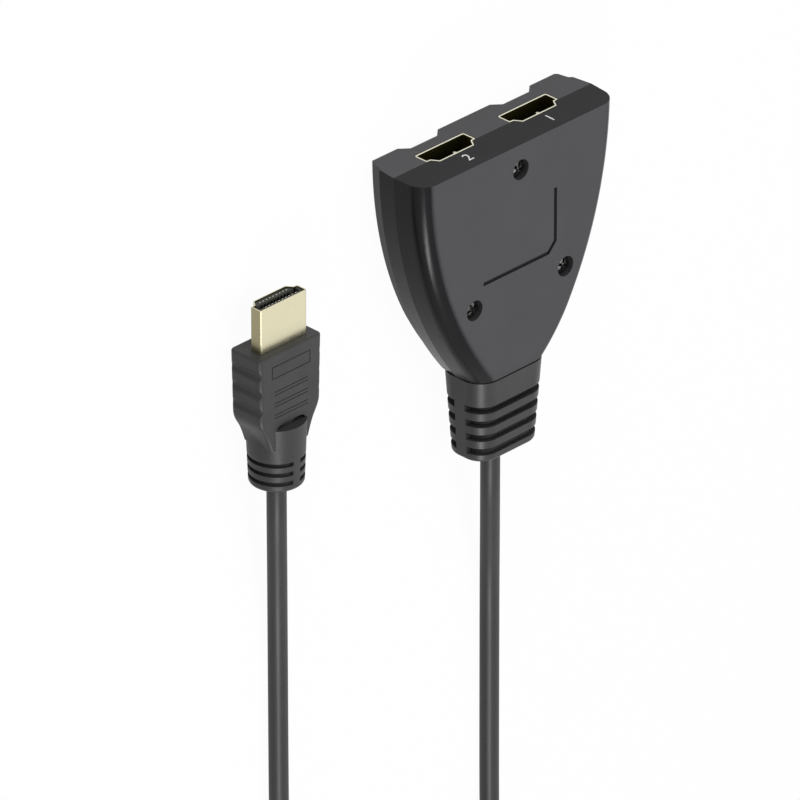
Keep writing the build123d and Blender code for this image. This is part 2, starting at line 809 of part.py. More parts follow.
def cord_route(points):
    """Straight runs joined by the largest tangent arcs that the runs allow."""
    radii = []
    for before, here, after in zip(points, points[1:], points[2:]):
        first = Vector(here) - Vector(before)
        second = Vector(after) - Vector(here)
        half_turn = math.radians(first.get_angle(second)) / 2
        radii.append(0.45 * min(first.length, second.length) / math.tan(half_turn))
    print("cord arc radii", [round(r, 1) for r in radii])
    return FilletPolyline(*points, radius=radii)


def cord_tube(name, points):
    """Plain tube of the cable along its route."""
    with BuildPart() as tube:
        with BuildLine() as line:
            cord_route(points)
        route = line.wires()[0]
        with BuildSketch(Plane(origin=points[0], z_dir=route % 0)):
            Circle(cable_radius)
        sweep(path=route)
    save(tube, name)
    share = tube.part.volume / (math.pi * cable_radius**2 * route.length)
    print(name, "length", round(route.length, 2), "volume share", round(share, 4))
    return route.length


# Cable from the switch, down to the floor and on to the coil
lying = cable_radius + 0.05
coil_entry = coil_y + cable_diameter
coil_right = coil_x + coil_radius
coil_left = coil_x - coil_radius
from_switch = [
    (0, y_exit, cable_height),
    (0, y_exit - 9, cable_height),
    (3.15, y_exit - 24, 5.3),
    (6.25, y_exit - 41, lying),
    (6.3, y_exit - 65, lying),
    (6.35, y_exit - 84, lying),
    (6.3, y_exit - 98, 2.4),
    (coil_right, coil_entry + 7, coil_low),
    (coil_right, coil_entry, coil_low),
]
length_out = cord_tube("cable_from_switch", from_switch)

# Cable from the top of the coil, over its lower layer, and on to the plug
to_plug = [
    (coil_left, coil_entry, coil_high),
    (coil_left, coil_entry + 10, coil_high),
    (-46.0, coil_entry + 24, 4.1),
    (-52.6, coil_entry + 36, lying),
    (-59.3, coil_entry + 48, lying),
    (-59.4, coil_entry + 65, lying),
    (-59.55, plug_end - 42, lying),
    (-61.75, plug_end - 24, 4.4),
    (plug_x, plug_end - 9, plug_z),
    (plug_x, plug_end, plug_z),
]
length_back = cord_tube("cable_to_plug", to_plug)


def coil_arc(start_x, start_z, end_x, end_z, out):
    """Half turn of the coil, bulging towards out."""
    middle = ((start_x + end_x) / 2, coil_y + out * math.dist((start_x, start_z), (end_x, end_z)) / 2,
              (start_z + end_z) / 2)
    return ThreePointArc((start_x, coil_y, start_z), middle, (end_x, coil_y, end_z))


# Coil: half a turn on the floor, a climbing half turn, and half a turn on top
with BuildPart() as cable_coil:
    with BuildLine() as turns:
        Line((coil_right, coil_entry, coil_low), (coil_right, coil_y, coil_low))
        coil_arc(coil_right, coil_low, coil_left, coil_low, -1)
        coil_arc(coil_left, coil_low, coil_right, coil_high, 1)
        coil_arc(coil_right, coil_high, coil_left, coil_high, -1)
        Line((coil_left, coil_y, coil_high), (coil_left, coil_entry, coil_high))
    winding = turns.wires()[0]
    with BuildSketch(Plane(origin=(coil_right, coil_entry, coil_low), z_dir=(0, -1, 0))):
        Circle(cable_radius)
    sweep(path=winding)
save(cable_coil, "cable_coil")


def self_gap(line, step=1.0):
    """Least gap of a tube to itself, between points more than a quarter turn apart."""
    count = int(line.length / step)
    spots = [line @ (i / count) for i in range(count + 1)]
    apart = int(coil_radius * math.pi / 2 / step)
    return min((a - b).length for i, a in enumerate(spots) for b in spots[i + apart:]) - cable_diameter


print("coil least self-gap", round(self_gap(winding), 2), "length", round(winding.length, 2))
print("cable length", round(length_out + winding.length + length_back, 1))

# Tie round both layers of the coil
with BuildPart() as coil_tie:
    tie_inner_height = coil_high - coil_low + cable_diameter + 2 * seat_gap
    tie_inner_width = cable_diameter + 2 * tie_side_gap
    with BuildSketch(Plane.YZ.offset(coil_x - tie_width / 2)):
        with Locations((coil_y - coil_radius, (coil_low + coil_high) / 2)):
            RectangleRounded(tie_inner_width + 2 * tie_wall, tie_inner_height + 2 * tie_wall, 2.6)
            RectangleRounded(tie_inner_width, tie_inner_height, 1.9, mode=Mode.SUBTRACT)
    extrude(amount=tie_width)
save(coil_tie, "coil_tie")
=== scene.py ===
import math

import bmesh
import bpy
from bpy.props import FloatProperty, FloatVectorProperty, IntProperty, PointerProperty
from mathutils import Matrix, Vector


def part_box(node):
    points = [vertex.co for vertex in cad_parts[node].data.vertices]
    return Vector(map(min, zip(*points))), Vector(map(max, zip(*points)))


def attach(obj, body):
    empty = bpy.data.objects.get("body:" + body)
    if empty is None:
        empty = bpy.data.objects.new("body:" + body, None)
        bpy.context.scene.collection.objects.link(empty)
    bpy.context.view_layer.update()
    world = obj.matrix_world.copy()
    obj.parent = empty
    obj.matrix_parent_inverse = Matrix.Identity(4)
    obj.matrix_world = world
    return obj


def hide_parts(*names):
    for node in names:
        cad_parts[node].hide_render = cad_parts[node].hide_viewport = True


bl_info = {
    "name": "Two-input video switch",
    "version": (1, 0, 0),
    "blender": (4, 5, 0),
    "location": "3D View > Sidebar > Switch",
    "description": "Dresses the packed video switch, its cable and its plug, and sets the stage",
    "category": "Object",
}

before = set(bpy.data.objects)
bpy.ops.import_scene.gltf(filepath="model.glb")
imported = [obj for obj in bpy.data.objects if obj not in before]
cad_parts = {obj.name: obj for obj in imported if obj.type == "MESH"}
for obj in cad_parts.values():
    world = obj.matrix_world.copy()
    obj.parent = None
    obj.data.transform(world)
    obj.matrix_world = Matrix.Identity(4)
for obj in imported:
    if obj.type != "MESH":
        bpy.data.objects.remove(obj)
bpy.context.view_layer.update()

MM = 0.001
BODY = "casing"


# Node trees written as expressions


class Value:
    """One output of a node. Arithmetic on it adds Math nodes."""

    def __init__(self, net, socket):
        self.net = net
        self.socket = socket

    def maths(self, operation, *values):
        return self.net.node("ShaderNodeMath", {"operation": operation}, dict(enumerate(values)))

    def __add__(self, other):
        return self.maths("ADD", self, other)

    __radd__ = __add__

    def __sub__(self, other):
        return self.maths("SUBTRACT", self, other)

    def __rsub__(self, other):
        return self.maths("SUBTRACT", other, self)

    def __mul__(self, other):
        return self.maths("MULTIPLY", self, other)

    __rmul__ = __mul__

    def __truediv__(self, other):
        return self.maths("DIVIDE", self, other)

    def __rtruediv__(self, other):
        return self.maths("DIVIDE", other, self)

    def __gt__(self, other):
        return self.maths("GREATER_THAN", self, other)

    def __lt__(self, other):
        return self.maths("LESS_THAN", self, other)

    def at_least(self, other):
        return self.maths("MAXIMUM", self, other)

    def sine(self):
        return self.maths("SINE", self)


class Net:
    """A node tree, built from a few words that name its nodes and sockets."""

    def __init__(self, tree):
        self.tree = tree
        tree.nodes.clear()

    def node(self, kind, settings=None, inputs=None, output=0):
        """Adds a node, sets it up, fills or links its sockets and returns one output."""
        made = self.tree.nodes.new(kind)
        for key, value in (settings or {}).items():
            setattr(made, key, value)
        for key, value in (inputs or {}).items():
            for item in value if isinstance(value, list) else [value]:
                if isinstance(item, Value):
                    self.tree.links.new(item.socket, made.inputs[key])
                else:
                    made.inputs[key].default_value = item
        return Value(self, made.outputs[output]) if made.outputs else None

    def vector(self, x, y, z):
        return self.node("ShaderNodeCombineXYZ", inputs={"X": x, "Y": y, "Z": z})

    def parts(self, vector):
        """The three numbers of a vector."""
        split = self.node("ShaderNodeSeparateXYZ", inputs={"Vector": vector}).socket.node
        return [Value(self, number) for number in split.outputs]


class Finish(Net):
    """One material."""

    def __init__(self, name):
        self.material = bpy.data.materials.new(name)
        self.material.use_nodes = True
        super().__init__(self.material.node_tree)
        self.place = self.node("ShaderNodeTexCoord", output="Object")

    def stretched(self, x, y, z, place=None):
        """The piece's own coordinates, or other ones, scaled along each axis."""
        sockets = {"Vector": place or self.place, "Scale": (x, y, z)}
        return self.node("ShaderNodeMapping", inputs=sockets)

    def noise(self, size, detail=2, place=None):
        """Soft noise whose lumps are about size metres across."""
        sockets = {"Vector": place or self.place, "Scale": 1 / size, "Detail": detail}
        return self.node("ShaderNodeTexNoise", inputs=sockets)

    def ramp(self, value, low, high):
        """Carries a value from its low to its high limit on to 0 and 1."""
        sockets = {"Value": value, "From Min": low, "From Max": high}
        return self.node("ShaderNodeMapRange", inputs=sockets)

    def spread(self, noise):
        """Noise, which keeps near a half, spread over 0 to 1."""
        return self.ramp(noise, 0.3, 0.7)

    def facing(self):
        """The three numbers of the surface's direction."""
        return self.parts(self.node("ShaderNodeNewGeometry", output="Normal"))

    def blend(self, factor, first, second):
        """Mixes two colours."""
        sockets = {0: factor, 6: first, 7: second}
        return self.node("ShaderNodeMix", {"data_type": "RGBA"}, sockets, output=2)

    def varied(self, factor, colour, low, high):
        """One colour, from a low to a high strength."""
        return self.blend(factor, full(colour, low), full(colour, high))

    def bump(self, height, distance, under=None):
        """Raises the surface by up to a distance in metres, on top of another relief."""
        sockets = {"Height": height, "Distance": distance}
        if under:
            sockets["Normal"] = under
        return self.node("ShaderNodeBump", inputs=sockets)

    def shade(self, **sockets):
        """Ends the material in one shader with the given sockets."""
        inputs = {key.replace("_", " "): value for key, value in sockets.items()}
        shader = self.node("ShaderNodeBsdfPrincipled", inputs=inputs)
        self.node("ShaderNodeOutputMaterial", inputs={"Surface": shader})
        return self.material


class Maker(Net):
    """A geometry tree with named inputs, which turns a few points into finished shapes."""

    KINDS = {
        int: "NodeSocketInt",
        float: "NodeSocketFloat",
        bpy.types.Material: "NodeSocketMaterial",
    }

    def __init__(self, name, **inputs):
        super().__init__(bpy.data.node_groups.new(name, "GeometryNodeTree"))
        face = self.tree.interface
        face.new_socket(name="Geometry", in_out="INPUT", socket_type="NodeSocketGeometry")
        self.given = inputs
        for label, value in inputs.items():
            face.new_socket(name=label, in_out="INPUT", socket_type=self.KINDS[type(value)])
        face.new_socket(name="Geometry", in_out="OUTPUT", socket_type="NodeSocketGeometry")
        self.entry = self.node("NodeGroupInput").socket.node

    def __getitem__(self, label):
        return Value(self, self.entry.outputs[label])

    def moved(self, shape, place):
        return self.node("GeometryNodeTransform", inputs={"Geometry": shape, "Translation": place})

    def finish(self, shapes):
        """Ends the tree: instances made real, in the given material."""
        real = self.node("GeometryNodeRealizeInstances", inputs={"Geometry": shapes})
        sockets = {"Geometry": real, "Material": self["material"]}
        dressed = self.node("GeometryNodeSetMaterial", inputs=sockets)
        self.node("NodeGroupOutput", inputs={"Geometry": dressed})

    def made(self, points):
        """The tree's result on the given points, as a plain mesh."""
        mesh = bpy.data.meshes.new(self.tree.name)
        mesh.from_pydata(points, [], [])
        piece = bpy.data.objects.new(self.tree.name, mesh)
        bpy.context.scene.collection.objects.link(piece)
        modifier = piece.modifiers.new(self.tree.name, "NODES")
        modifier.node_group = self.tree
        for socket in self.tree.interface.items_tree:
            if socket.in_out == "INPUT" and socket.name in self.given:
                modifier[socket.identifier] = self.given[socket.name]
        return finished(piece)


def full(colour, factor=1.0):
    """A colour as four channels, made lighter or darker."""
    return (colour[0] * factor, colour[1] * factor, colour[2] * factor, 1.0)


# Materials. Their sizes are in metres.


SPARK_GRAIN = 0.00022
HANDLING = 0.012
SMEAR = 0.007
FINE_RELIEF = 0.000012
ALONG_Y = (1, 0.1, 1)
SMEARED = (1, 0.4, 1)


def textured_plastic(name, colour, roughness):
    """Spark-textured moulding: a fine even grain, with slow cloudiness from handling."""
    finish = Finish(name)
    clouds = finish.spread(finish.noise(HANDLING, detail=3))
    grain = finish.noise(SPARK_GRAIN)
    tint = finish.varied(clouds * 0.5 + finish.spread(grain) * 0.5, colour, 0.94, 1.06)
    rough = clouds * 0.04 + (grain * 0.06 + (roughness - 0.05))
    return finish.shade(Base_Color=tint, Roughness=rough, Specular_IOR_Level=0.3,
                        Normal=finish.bump(grain, FINE_RELIEF))


def part_polished_plastic(name, colour, polish):
    """One moulding: textured on its flat face, polished round its edge in a dark colour that is
    partly painted shade, and painted lighter on its walls.
    """
    finish = Finish(name)
    level = finish.facing()[2]
    flat = finish.ramp(level, 0.93, 0.99)
    # Painted light: the upright walls get a lighter polish than the rounding.
    wall_painted_light = finish.ramp(level, 0.3, 0.1)
    clouds = finish.spread(finish.noise(HANDLING, detail=3))
    grain = finish.noise(SPARK_GRAIN)
    smears = finish.spread(finish.noise(SMEAR, detail=4, place=finish.stretched(*SMEARED)))
    texture = finish.varied(clouds * 0.5 + finish.spread(grain) * 0.5, colour, 0.94, 1.06)
    edge = finish.varied(smears, polish, 0.88, 1.12)
    # Painted light on the upright walls: 1.4 to 1.7 times the polish.
    wall = finish.varied(smears, polish, 1.4, 1.7)
    tint = finish.blend(flat, finish.blend(wall_painted_light, edge, wall), texture)
    rough = flat * 0.34 + (smears * 0.05 + (grain * flat * 0.06 + 0.2))
    return finish.shade(Base_Color=tint, Roughness=rough, Specular_IOR_Level=0.09,
                        Normal=finish.bump(grain * flat, FINE_RELIEF))


def polished_plastic(name, colour, roughness):
    """Tool-polished moulding: slight waviness, faint smears and a few fine scuffs."""
    finish = Finish(name)
    smears = finish.noise(SMEAR, detail=4, place=finish.stretched(*SMEARED))
    scuffs = finish.noise(0.0006, detail=3, place=finish.stretched(*ALONG_Y))
    wave = finish.bump(finish.noise(0.009, detail=1), 0.00001)
    tint = finish.varied(finish.spread(smears), colour, 0.88, 1.12)
    scuffed = finish.ramp(scuffs, 0.6, 0.75) * 0.08 + (roughness - 0.04)
    rough = finish.ramp(smears, 0.35, 0.75) * 0.06 + scuffed
    return finish.shade(Base_Color=tint, Roughness=rough, Specular_IOR_Level=0.09,
                        Normal=finish.bump(scuffs, 0.000002, under=wave))


def dark_plastic_and_painted_shade(name, colour, roughness):
    """Dull dark plastic or rubber, without handling marks. In slots, recesses, the groove and the
    casing-boot gap its dark colour is painted shade; in the mouths it is the insulators' own.
    """
    finish = Finish(name)
    speck = finish.noise(0.0004, detail=3)
    tint = finish.varied(finish.spread(speck), colour, 0.8, 1.2)
    rough = speck * 0.1 + (roughness - 0.05)
    return finish.shade(Base_Color=tint, Roughness=rough, Specular_IOR_Level=0.12,
                        Normal=finish.bump(speck, 0.000008))


def soft_rubber(name, colour, roughness):
    """Flexible moulding: matte, with a soft bloom and slight flow marks."""
    finish = Finish(name)
    bloom = finish.noise(0.006, detail=4)
    pores = finish.noise(SPARK_GRAIN, detail=3)
    flow = finish.noise(0.002, place=finish.stretched(1, 0.25, 1))
    tint = finish.varied(finish.spread(bloom), colour, 0.9, 1.1)
    rough = finish.spread(flow) * 0.06 + (bloom * 0.05 + (roughness - 0.05))
    relief = finish.bump(pores, FINE_RELIEF, under=finish.bump(flow, 0.00002))
    return finish.shade(Base_Color=tint, Roughness=rough, Specular_IOR_Level=0.28, Normal=relief)


def plated_metal(name, colour, roughness, side=1.0):
    """Bright plating over sheet drawn along Y. Its sides are painted shade: yellower, and darker by
    a strength.
    """
    finish = Finish(name)
    drawn = finish.noise(0.00018, detail=3, place=finish.stretched(*ALONG_Y))
    mottle = finish.noise(0.0025, detail=3)
    across = finish.facing()[0]
    # Painted shade: faces turned along X, the sides, get a yellower colour, made darker by the side
    # strength.
    turned = finish.ramp(across * across, 0.35, 0.9)
    face = finish.varied(finish.spread(mottle), colour, 0.985, 1.01)
    yellower = (colour[0], colour[1] * 0.95, colour[2] * 0.82)
    tint = finish.blend(turned, face, full(yellower, side))
    rough = finish.spread(drawn) * 0.06 + (mottle * 0.04 + (roughness - 0.05))
    return finish.shade(Base_Color=tint, Metallic=1.0, Roughness=rough,
                        Normal=finish.bump(drawn, 0.000002))


def blackened_steel(name, colour, roughness):
    """Small turned hardware with a dark dip finish, worn a little brighter in places."""
    finish = Finish(name)
    wear = finish.noise(0.0006, detail=4)
    lathe = finish.noise(0.0002)
    tint = finish.varied(finish.ramp(wear, 0.45, 0.62), colour, 0.5, 1.6)
    rough = lathe * 0.12 + (roughness - 0.06)
    return finish.shade(Base_Color=tint, Metallic=1.0, Roughness=rough,
                        Normal=finish.bump(lathe, 0.000008))


def solder_mask(name, colour):
    """Board lacquer over copper tracks."""
    finish = Finish(name)
    tracks = finish.node("ShaderNodeTexBrick", {"offset": 0.35}, {
        "Vector": finish.place,
        "Scale": 420.0,
        "Mortar Size": 0.035,
        "Color1": full(colour),
        "Color2": full(colour, 0.8),
        "Mortar": full(colour, 1.9),
    })
    speck = finish.noise(0.0004)
    return finish.shade(Base_Color=tracks, Roughness=speck * 0.1 + 0.28,
                        Normal=finish.bump(speck, 0.000006))


def frosted_clear(name, colour):
    """Milky light guide."""
    finish = Finish(name)
    haze = finish.noise(0.0008, detail=3)
    tint = finish.varied(haze, colour, 0.9, 1.05)
    return finish.shade(Base_Color=tint, Roughness=haze * 0.15 + 0.3, IOR=1.49,
                        Subsurface_Weight=0.3, Normal=finish.bump(haze, 0.000008))


def printed_ink(name, colour):
    """Pad-printed ink, slightly patchy."""
    finish = Finish(name)
    patch = finish.noise(0.0003, detail=3)
    tint = finish.varied(finish.ramp(patch, 0.35, 0.65), colour, 0.88, 1.0)
    return finish.shade(Base_Color=tint, Roughness=patch * 0.2 + 0.4,
                        Normal=finish.bump(patch, 0.000004))


def cable_jacket(name, colour, roughness):
    """Extruded jacket: smooth, with faint lines along the run and dusting."""
    finish = Finish(name)
    run = finish.node("ShaderNodeTexCoord", output="UV")
    lines = finish.noise(1.0, place=finish.stretched(3, 60, 1, place=run))
    dust = finish.noise(0.004, detail=4)
    tint = finish.varied(finish.spread(dust), colour, 0.92, 1.08)
    rough = dust * 0.08 + (lines * 0.04 + (roughness - 0.06))
    relief = finish.bump(finish.noise(0.00025), 0.000008, under=finish.bump(lines, FINE_RELIEF))
    return finish.shade(Base_Color=tint, Roughness=rough, Specular_IOR_Level=0.35, Normal=relief)


# Sizes and colours that a user may change


class SwitchSizes(bpy.types.PropertyGroup):
    """Sizes of the dressed pieces."""

    edge: FloatProperty(
        name="Casing edge", description="Softening of the casing's sharp edges",
        default=0.00022, unit="LENGTH")
    rubber_edge: FloatProperty(
        name="Rubber edge", description="Softening of the boot's and the grip's edges",
        default=0.0002, unit="LENGTH")
    sheet_edge: FloatProperty(
        name="Sheet edge", description="Softening of the metal shells' edges",
        default=0.00008, unit="LENGTH")
    cable: FloatProperty(
        name="Cable diameter", description="Outer diameter of the jacket",
        default=0.0044, unit="LENGTH")
    cable_length: FloatProperty(
        name="Cable length", description="Length from the boot to the plug",
        default=0.51, unit="LENGTH")
    wall_edge: FloatProperty(
        name="Wall edge", description="Softening of the front wall's lower edge",
        default=0.0009, unit="LENGTH")
    number_height: FloatProperty(
        name="Number height", description="Height of the printed numbers",
        default=0.0026, unit="LENGTH")
    coil_points: IntProperty(
        name="Points in a half turn", description="Control points of half a coil turn",
        default=8)


class SwitchColours(bpy.types.PropertyGroup):
    """Colours of the dressed pieces."""

    casing: FloatVectorProperty(
        name="Casing", description="Textured faces",
        subtype="COLOR", default=(0.0535, 0.052, 0.0555))
    # Partly the polished finish, partly painted shade: the dark colour of the casing's rounding and
    # side walls.
    polish: FloatVectorProperty(
        name="Polish", description="Polished band round the casing",
        subtype="COLOR", default=(0.0085, 0.0085, 0.0095))
    # Painted shade: this dark colour stands in for the shadow down in the slots, groove, screw
    # holes and the casing-boot gap.
    recess: FloatVectorProperty(
        name="Recesses", description="Slots, groove and screw holes",
        subtype="COLOR", default=(0.026, 0.026, 0.027))
    rubber: FloatVectorProperty(
        name="Rubber", description="Boot and plug grip",
        subtype="COLOR", default=(0.029, 0.029, 0.029))
    jacket: FloatVectorProperty(
        name="Jacket", description="Cable jacket",
        subtype="COLOR", default=(0.021, 0.021, 0.021))
    gilt: FloatVectorProperty(
        name="Plating", description="Plug nose",
        subtype="COLOR", default=(0.745, 0.70, 0.495))
    steel: FloatVectorProperty(
        name="Screws", description="Screw heads",
        subtype="COLOR", default=(0.18, 0.18, 0.175))
    ink: FloatVectorProperty(
        name="Ink", description="Printed numbers",
        subtype="COLOR", default=(0.72, 0.72, 0.72))
    floor: FloatVectorProperty(
        name="Floor", description="Floor",
        subtype="COLOR", default=(0.6, 0.6, 0.6))


def sizes():
    return bpy.context.scene.switch_sizes


def colours():
    return bpy.context.scene.switch_colours


# Making pieces


def keep(name, mesh, materials, body=BODY, replaces=(), zone=None):
    """Links a finished mesh, gives it its materials, by zones if it has them, and makes it ride.

    A zone takes a face's middle in millimetres and its direction, and returns the material's index.
    """
    piece = bpy.data.objects.new(name, mesh)
    bpy.context.scene.collection.objects.link(piece)
    mesh.materials.clear()
    for material in materials:
        mesh.materials.append(material)
    if zone:
        for face in mesh.polygons:
            face.material_index = zone(face.center / MM, face.normal)
    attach(piece, body)
    if replaces:
        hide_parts(*replaces)
    return piece


def solid(name, shape):
    """A plain mesh from a bmesh, which is freed."""
    mesh = bpy.data.meshes.new(name)
    shape.to_mesh(mesh)
    shape.free()
    return mesh


def evaluated(piece):
    """The piece's mesh with its modifiers applied; the piece goes."""
    bpy.context.view_layer.update()
    graph = bpy.context.evaluated_depsgraph_get()
    mesh = bpy.data.meshes.new_from_object(piece.evaluated_get(graph))
    bpy.data.objects.remove(piece)
    return mesh


def smoothed(mesh):
    """Shades a mesh smooth, but for edges sharper than 30 degrees."""
    mesh.shade_smooth()
    mesh.set_sharp_from_angle(angle=math.radians(30))
    return mesh


def finished(piece):
    """The piece's evaluated mesh, smooth but for its sharp edges."""
    return smoothed(evaluated(piece))


def softened(node, edge, wide=0.0, is_wide=None):
    """A copy of a CAD node as one clean skin, its sharp edges rounded, some of them wider."""
    same_place = 1e-6
    same_plane = math.radians(0.2)
    sharp = math.radians(28)
    skin = bmesh.new()
    skin.from_mesh(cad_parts[node].data)
    bmesh.ops.remove_doubles(skin, verts=skin.verts, dist=same_place)
    bmesh.ops.dissolve_limit(skin, angle_limit=same_plane, verts=skin.verts, edges=skin.edges)
    weight = skin.edges.layers.float.new("bevel_weight_edge")
    width = max(edge, wide)
    for line in skin.edges:
        if len(line.link_faces) == 2 and line.calc_face_angle(0) > sharp:
            middle = (line.verts[0].co + line.verts[1].co) / 2
            line[weight] = wide / width if is_wide and is_wide(middle) else edge / width
    piece = bpy.data.objects.new(node + "_work", smoothed(solid(node + "_skin", skin)))
    bpy.context.scene.collection.objects.link(piece)
    bevel = piece.modifiers.new("edges", "BEVEL")
    bevel.width = width
    bevel.segments = 2
    bevel.limit_method = "WEIGHT"
    bevel.use_clamp_overlap = True
    even = piece.modifiers.new("even shading", "WEIGHTED_NORMAL")
    even.keep_sharp = True
    return evaluated(piece)


def dress(node, material):
    """Gives a CAD node, as it is, a better material."""
    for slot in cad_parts[node].material_slots:
        slot.link = "OBJECT"
        slot.material = material


class SWITCH_OT_stage(bpy.types.Operator):
    """Camera, lamps, floor and surroundings"""

    bl_idname = "switch.stage"
    bl_label = "Stage"

    def execute(self, context):
        scene = context.scene
        scene.view_settings.view_transform = "Standard"
        self.camera(scene)
        self.surroundings(scene)
        self.floor(scene)
        for lamp in self.lamps():
            self.lamp(scene, *lamp)
        return {"FINISHED"}

    def camera(self, scene):
        """A long lens that looks down on the back and the sockets, with the sockets up."""
        across = Vector((0.70158, 0.0, 0.71259))
        toward = Vector((-0.62209, 0.48771, 0.61248))
        upward = toward.cross(across)
        port = Vector((0, 0.0384, 0))
        left, down = 0.013731, 0.060969
        aim = port - across * left - upward * down
        distance = 2.6954
        data = bpy.data.cameras.new("view")
        data.sensor_width = 36
        data.lens = 563.0
        data.clip_end = 20
        camera = bpy.data.objects.new("view", data)
        scene.collection.objects.link(camera)
        place = Matrix((across, upward, toward)).transposed().to_4x4()
        place.translation = aim + toward * distance
        camera.matrix_world = place
        scene.camera = camera

    def seen(self, net, mirrored=1.0):
        """1 for rays from the eye, and a share for those it sees by reflection or through glass."""
        eye, mirror, glass = [net.node("ShaderNodeLightPath", output=f"Is {kind} Ray")
                              for kind in ("Camera", "Glossy", "Transmission")]
        return eye.at_least(mirror.at_least(glass) * mirrored)

    def surroundings(self, scene):
        """A white surround to the eye and in reflections, a dimmer one as light."""
        light, white = 0.36, 1.0
        world = bpy.data.worlds.new("surround")
        world.use_nodes = True
        scene.world = world
        net = Net(world.node_tree)
        sockets = {"Value": self.seen(net), "To Min": light, "To Max": white}
        strength = net.node("ShaderNodeMapRange", inputs=sockets)
        sockets = {"Color": (1, 1, 1, 1), "Strength": strength}
        surround = net.node("ShaderNodeBackground", inputs=sockets)
        net.node("ShaderNodeOutputWorld", inputs={"Surface": surround})

    def floor(self, scene):
        """A pale floor that keeps the shadow, and is clear to light and to the eye from below.

        It lies a hair under the object, so that it shares no plane with what rests on it.
        """
        white_share, mirrored_share = 0.96, 0.6
        finish = Finish("pale_floor")
        paint = finish.node("ShaderNodeBsdfDiffuse", inputs={
            "Color": finish.varied(finish.noise(0.4), colours().floor, 0.99, 1.0)})
        white = finish.node("ShaderNodeEmission", inputs={"Color": (1, 1, 1, 1), "Strength": 1.0})
        share = self.seen(finish, mirrored_share) * white_share
        top = finish.node("ShaderNodeMixShader", inputs={0: share, 1: paint, 2: white})
        under = finish.node("ShaderNodeNewGeometry", output="Backfacing")
        lit_by = finish.node("ShaderNodeLightPath", output="Is Diffuse Ray")
        clear = finish.node("ShaderNodeBsdfTransparent")
        sockets = {0: under.at_least(lit_by), 1: top, 2: clear}
        both = finish.node("ShaderNodeMixShader", inputs=sockets)
        finish.node("ShaderNodeOutputMaterial", inputs={"Surface": both})
        reach, level = 6.0, -0.00002
        corners = [(x * reach, y * reach, level) for x, y in ((-1, -1), (1, -1), (1, 1), (-1, 1))]
        mesh = bpy.data.meshes.new("floor")
        mesh.from_pydata(corners, [], [(0, 1, 2, 3)])
        mesh.materials.append(finish.material)
        floor = bpy.data.objects.new("floor", mesh)
        scene.collection.objects.link(floor)

    def lamps(self):
        """Each lamp's name, place and size in metres, watts, and whether reflections show it."""
        return [
            ("overhead_lamp", (0.06, 0.2, 0.85), (0.8, 0.8), 8.0, False),
            ("port_side_lamp", (-0.3, 0.85, 0.26), (0.3, 0.3), 3.8, False),
            ("left_strip", (-0.52, -0.66, 0.54), (0.1, 0.3), 4.2, True),
        ]

    def lamp(self, scene, name, place, size, watts, mirrored):
        """A soft lamp aimed at the casing."""
        middle = Vector((0, 0, 0.01))
        data = bpy.data.lights.new(name, "AREA")
        data.shape = "RECTANGLE"
        data.size, data.size_y = size
        data.energy = watts
        lamp = bpy.data.objects.new(name, data)
        scene.collection.objects.link(lamp)
        lamp.visible_glossy = mirrored
        lamp.location = place
        lamp.rotation_euler = (Vector(place) - middle).to_track_quat("Z", "Y").to_euler()


